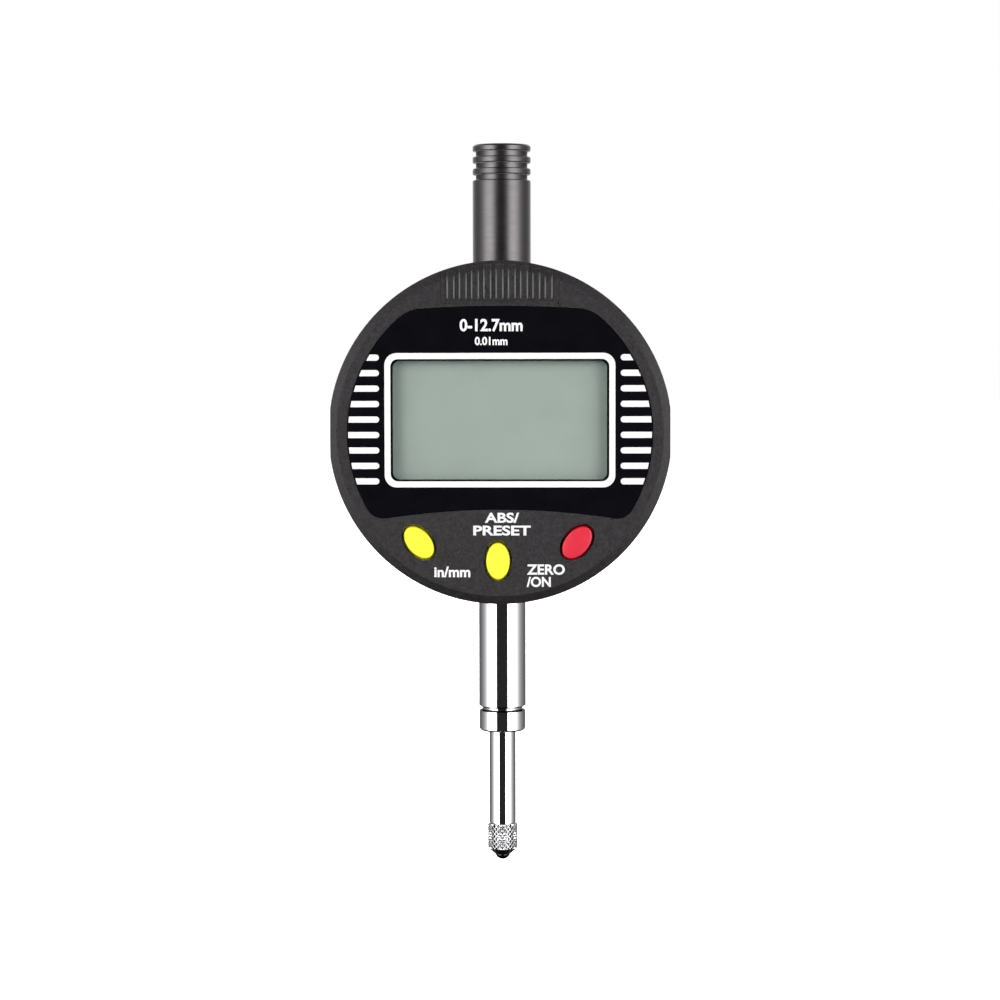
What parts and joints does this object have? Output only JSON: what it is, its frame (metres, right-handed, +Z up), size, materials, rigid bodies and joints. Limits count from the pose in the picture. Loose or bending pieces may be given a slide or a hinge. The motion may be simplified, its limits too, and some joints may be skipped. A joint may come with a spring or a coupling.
{
  "type": "digital dial indicator",
  "caption": "Digital dial indicator with a round case, blank display, oval buttons, ribbed battery drawer, dust cap, clamping stem, sprung spindle and rear lug.",
  "frame": {"origin": "on the spindle axis, at the middle of the stem's plain clamping length", "axes": "+Z up along the spindle from the contact point to the dust cap, -Y out of the display face, +X to the right seen from the front"},
  "size_m": [0.0564, 0.0386, 0.1216],
  "materials": {
    "cover_plastic": "fine moulded texture",
    "panel_black": "polished",
    "window_clear": "clear",
    "lcd": "satin",
    "holder_plastic": "moulded",
    "zebra_rubber": "matt",
    "board_green": "solder mask",
    "chip_resin": "potting resin",
    "switch_black": "moulded",
    "screw_steel": "plated",
    "button_yellow": "satin",
    "button_red": "satin",
    "cell_steel": "nickel plated",
    "contact_brass": "plated",
    "housing_paint": "fine texture paint",
    "bush_brass": "machined",
    "cap_black": "black anodised",
    "polished_steel": "ground and polished",
    "bumper_rubber": "matt",
    "spring_steel": "drawn wire",
    "carrier_alloy": "machined",
    "screw_black": "black oxide",
    "contact_steel": "diamond knurl",
    "ball_black": "polished"
  },
  "bodies": {
    "case": {"front_cover": "cover_plastic", "display_panel": "panel_black", "lcd_window": "window_clear", "lcd_glass": "lcd", "lcd_holder": "holder_plastic", "zebra_strips": "zebra_rubber", "main_pcb": "board_green", "chip_blob": "chip_resin", "key_switches": "switch_black", "pcb_screws": "screw_steel", "battery_contacts": "contact_brass", "housing": "housing_paint", "top_bush": "bush_brass", "dust_cap": "cap_black", "stem": "polished_steel", "end_bush": "polished_steel", "guide_rod": "polished_steel", "bumper_ring": "bumper_rubber", "return_spring": "spring_steel", "rear_cover": "housing_paint", "case_screws": "screw_steel"},
    "spindle": {"spindle": "polished_steel", "slider_carrier": "carrier_alloy", "carrier_screws": "screw_black", "slider_scale": "board_green", "contact_point": "contact_steel", "contact_ball": "ball_black"},
    "unit_button": {"button_unit": "button_yellow"},
    "abs_button": {"button_abs": "button_yellow"},
    "zero_button": {"button_zero": "button_red"},
    "battery_drawer": {"battery_drawer": "cover_plastic", "battery_cell": "cell_steel"}
  },
  "joints": [
    {"name": "spindle_slide", "type": "slide", "parent": "case", "child": "spindle", "axis": [0, 0, 1], "range_m": [0, 0.0127], "stiffness_N_per_m": 40, "springref_m": -0.012, "deforming": ["return_spring"]},
    {"name": "unit_button_press", "type": "slide", "parent": "case", "child": "unit_button", "axis": [0, 1, 0], "range_m": [0, 0.0005], "stiffness_N_per_m": 2000, "springref_m": -0.0001},
    {"name": "abs_button_press", "type": "slide", "parent": "case", "child": "abs_button", "axis": [0, 1, 0], "range_m": [0, 0.0005], "stiffness_N_per_m": 2000, "springref_m": -0.0001},
    {"name": "zero_button_press", "type": "slide", "parent": "case", "child": "zero_button", "axis": [0, 1, 0], "range_m": [0, 0.0005], "stiffness_N_per_m": 2000, "springref_m": -0.0001},
    {"name": "battery_drawer_slide", "type": "slide", "parent": "case", "child": "battery_drawer", "axis": [0, 0, 1], "range_m": [0, 0.014]}
  ]
}
